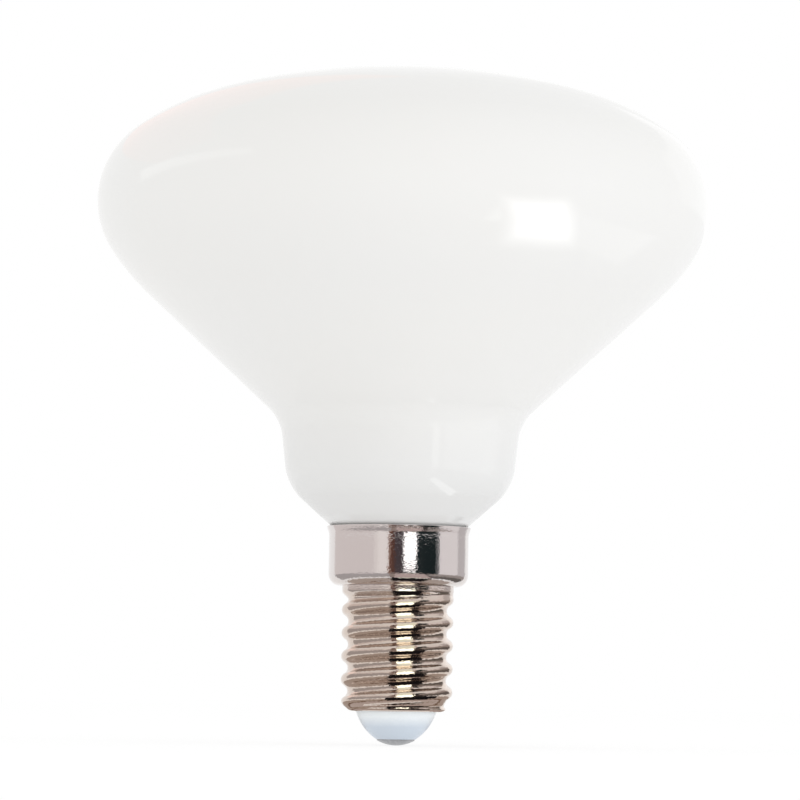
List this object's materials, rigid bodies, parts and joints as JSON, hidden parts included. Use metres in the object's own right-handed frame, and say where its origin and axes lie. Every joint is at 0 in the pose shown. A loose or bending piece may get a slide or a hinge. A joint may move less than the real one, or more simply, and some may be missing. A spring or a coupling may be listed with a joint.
{
  "type": "reflector bulb",
  "caption": "Opal mushroom-shaped reflector bulb with a waisted neck, cemented into a slim skirted screw cap with a pale insulator and a domed centre contact.",
  "frame": {"origin": "tip of the centre contact, on the axis of the bulb", "axes": "+Z along the axis, from the contact towards the dome; +X to the right in the picture, -Y towards the viewer"},
  "size_m": [0.075, 0.075, 0.0821],
  "materials": {
    "opal_glass": "glossy opal white, not see-through",
    "nickel_plate": "bright nickel plate with fine turning marks",
    "cement": "matte",
    "insulator": "satin, bluish white",
    "contact_metal": "dull tinned metal",
    "copper_wire": "bare wire"
  },
  "bodies": {
    "root": {"glass_bulb": "opal_glass", "cap_shell": "nickel_plate", "cap_cement": "cement", "cap_insulator": "insulator", "centre_contact": "contact_metal", "centre_lead_wire": "copper_wire", "side_lead_wire": "copper_wire"}
  },
  "joints": []
}
